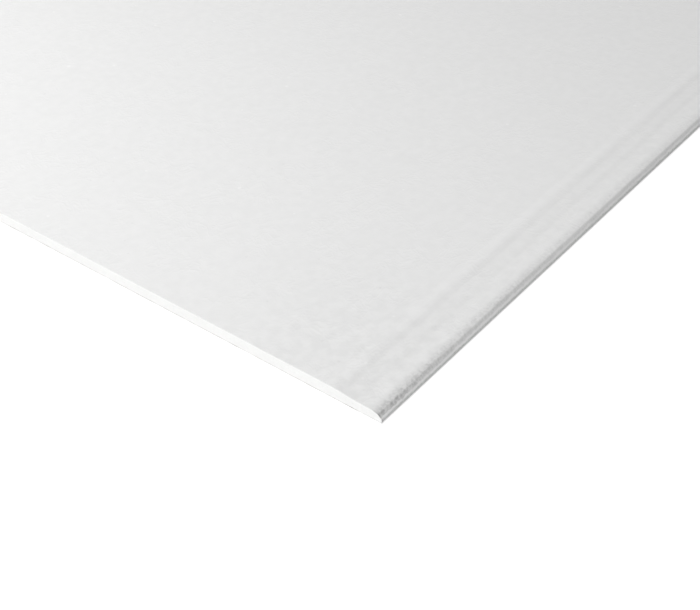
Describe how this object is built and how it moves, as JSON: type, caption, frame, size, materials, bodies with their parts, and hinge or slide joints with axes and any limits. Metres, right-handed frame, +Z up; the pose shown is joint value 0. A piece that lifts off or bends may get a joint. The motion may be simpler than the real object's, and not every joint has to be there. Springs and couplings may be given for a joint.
{
  "type": "drywall sheet",
  "caption": "Flat gypsum wallboard sheet with tapered, rounded long edges wrapped in face paper and square cut ends showing the bare core.",
  "frame": {"origin": "centre of the sheet's underside, on the surface it lies on", "axes": "+X along the length, parallel to the tapered long edges; +Y across the width; +Z up through the thickness, out of the tapered face"},
  "size_m": [2.5, 1.2, 0.0125],
  "materials": {
    "gypsum": "matte, porous, sawn",
    "face_liner": "matte, fine fibrous",
    "back_liner": "matte, coarse grey recycled paper"
  },
  "bodies": {
    "root": {"gypsum_core": "gypsum", "face_paper": "face_liner", "back_paper": "back_liner"}
  },
  "joints": []
}
